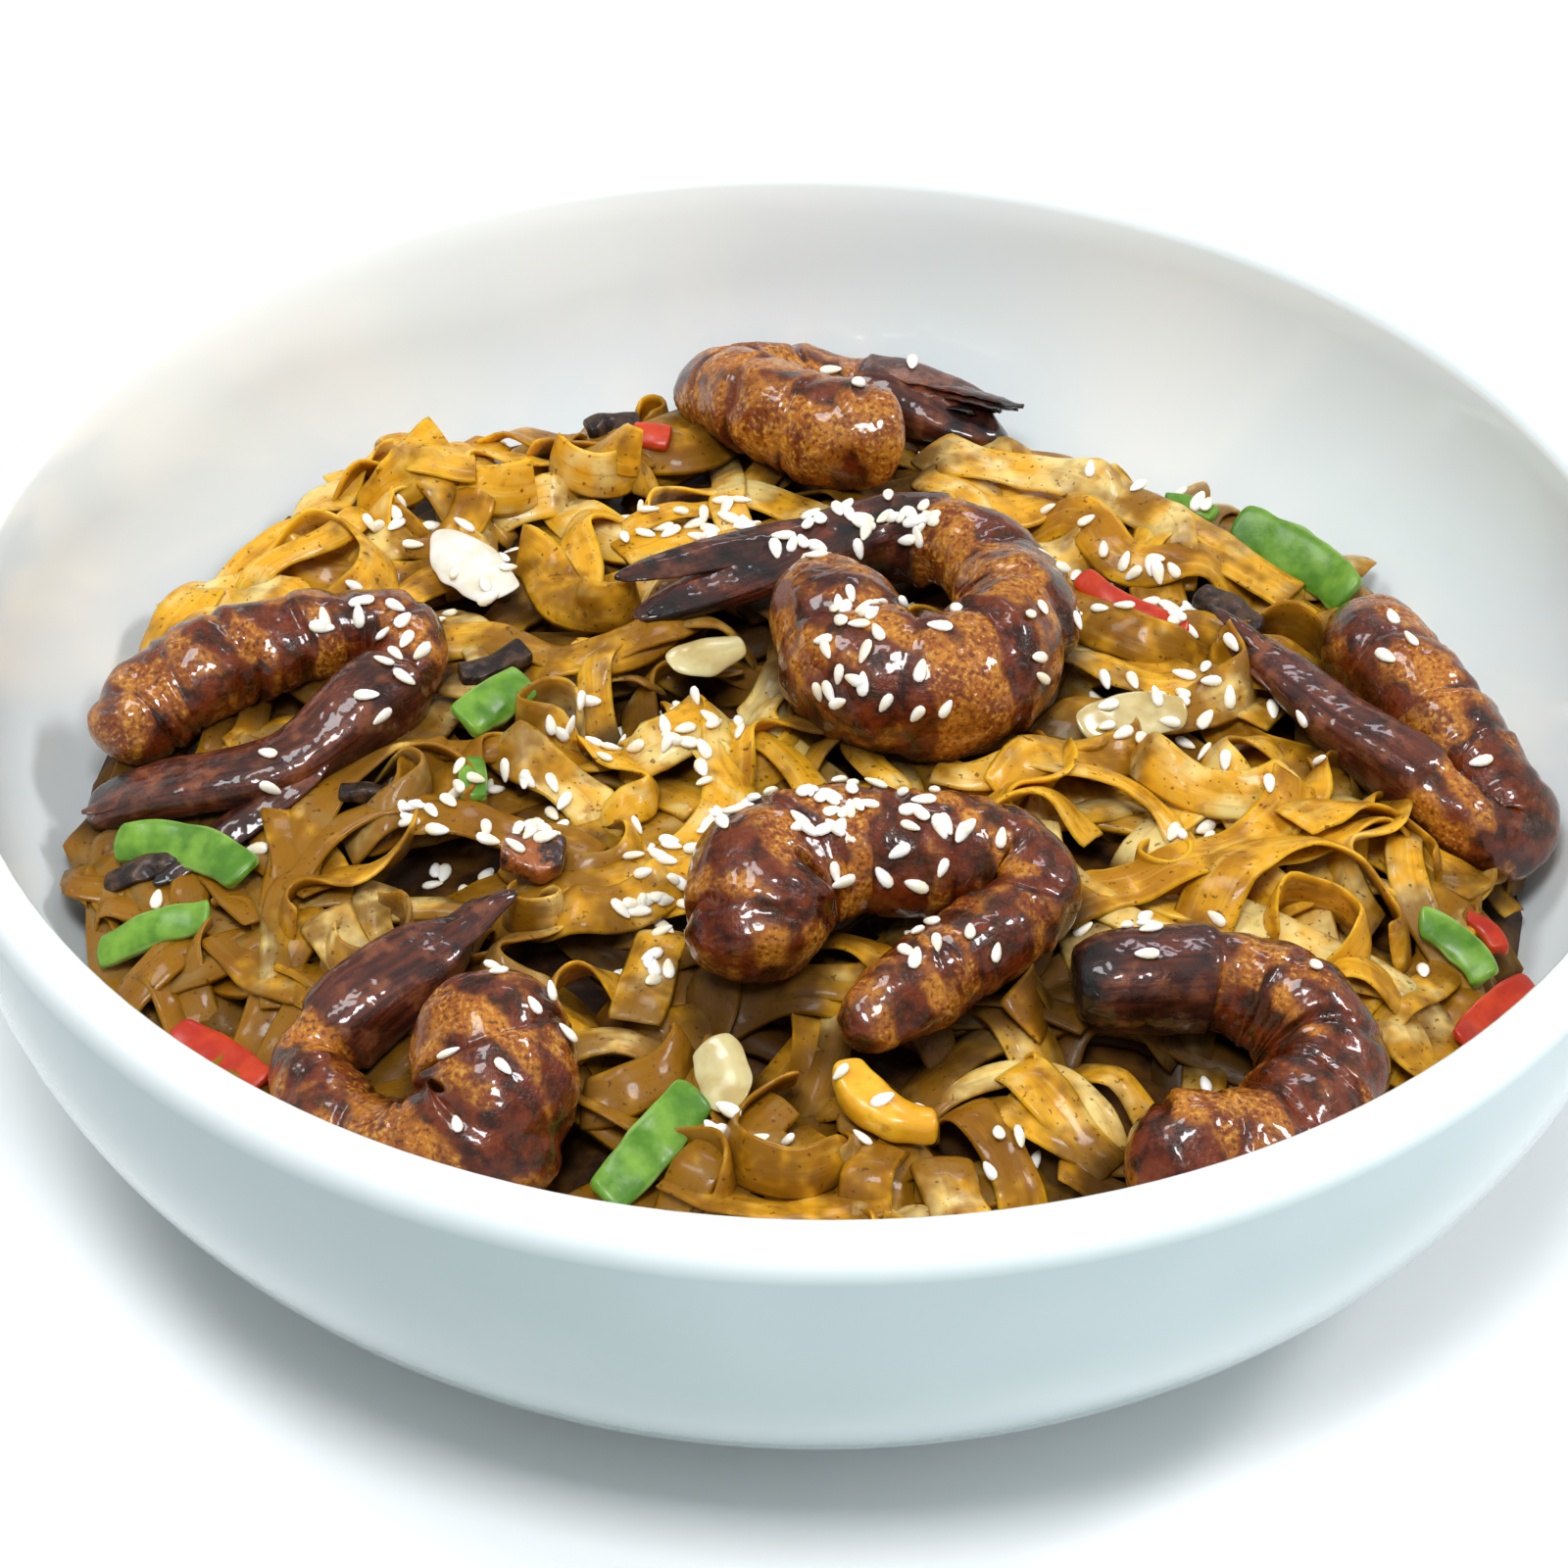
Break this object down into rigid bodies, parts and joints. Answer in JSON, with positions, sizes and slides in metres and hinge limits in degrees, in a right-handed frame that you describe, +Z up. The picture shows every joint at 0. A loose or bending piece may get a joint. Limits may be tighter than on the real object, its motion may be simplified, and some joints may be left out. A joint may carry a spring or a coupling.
{
  "type": "bowl of fried noodles with prawns",
  "caption": "Deep white glazed bowl filled with fried flat noodles, topped with glazed curled prawns, pepper strips, onion, egg, mushroom and sesame seeds.",
  "frame": {"origin": "middle of the foot ring, on the surface that the bowl stands on", "axes": "+Z up out of the bowl's mouth; -Y towards the side the bowl is seen from"},
  "size_m": [0.24, 0.24, 0.075],
  "materials": {
    "bowl": "smooth bright white glaze, glossy",
    "noodles": "soft golden wheat or rice noodle with brown soy stains and an oily gloss",
    "prawn": "orange brown cooked flesh under a dark sticky glaze, dark red brown tail shell",
    "green_pepper": "fresh green flesh with a waxy gloss",
    "red_pepper": "bright red flesh with a waxy gloss",
    "onion": "translucent pale cooked onion, moist",
    "egg": "smooth yellow cooked egg, moist",
    "mushroom": "dark, nearly black sliced mushroom, wrinkled and moist",
    "sesame": "matt cream white toasted seeds"
  },
  "bodies": {
    "root": {"bowl": "bowl", "noodles": "noodles", "prawn_left": "prawn", "prawn_back": "prawn", "prawn_centre": "prawn", "prawn_right": "prawn", "prawn_middle": "prawn", "prawn_front_left": "prawn", "prawn_front_right": "prawn", "green_pepper_1": "green_pepper", "green_pepper_2": "green_pepper", "green_pepper_3": "green_pepper", "green_pepper_4": "green_pepper", "green_pepper_5": "green_pepper", "green_pepper_6": "green_pepper", "green_pepper_7": "green_pepper", "green_pepper_8": "green_pepper", "red_pepper_1": "red_pepper", "red_pepper_2": "red_pepper", "red_pepper_3": "red_pepper", "red_pepper_4": "red_pepper", "red_pepper_5": "red_pepper", "onion_1": "onion", "onion_2": "onion", "onion_3": "onion", "onion_4": "onion", "egg": "egg", "mushroom_1": "mushroom", "mushroom_2": "mushroom", "mushroom_3": "mushroom", "mushroom_4": "mushroom", "mushroom_5": "mushroom", "mushroom_6": "mushroom"}
  },
  "joints": []
}
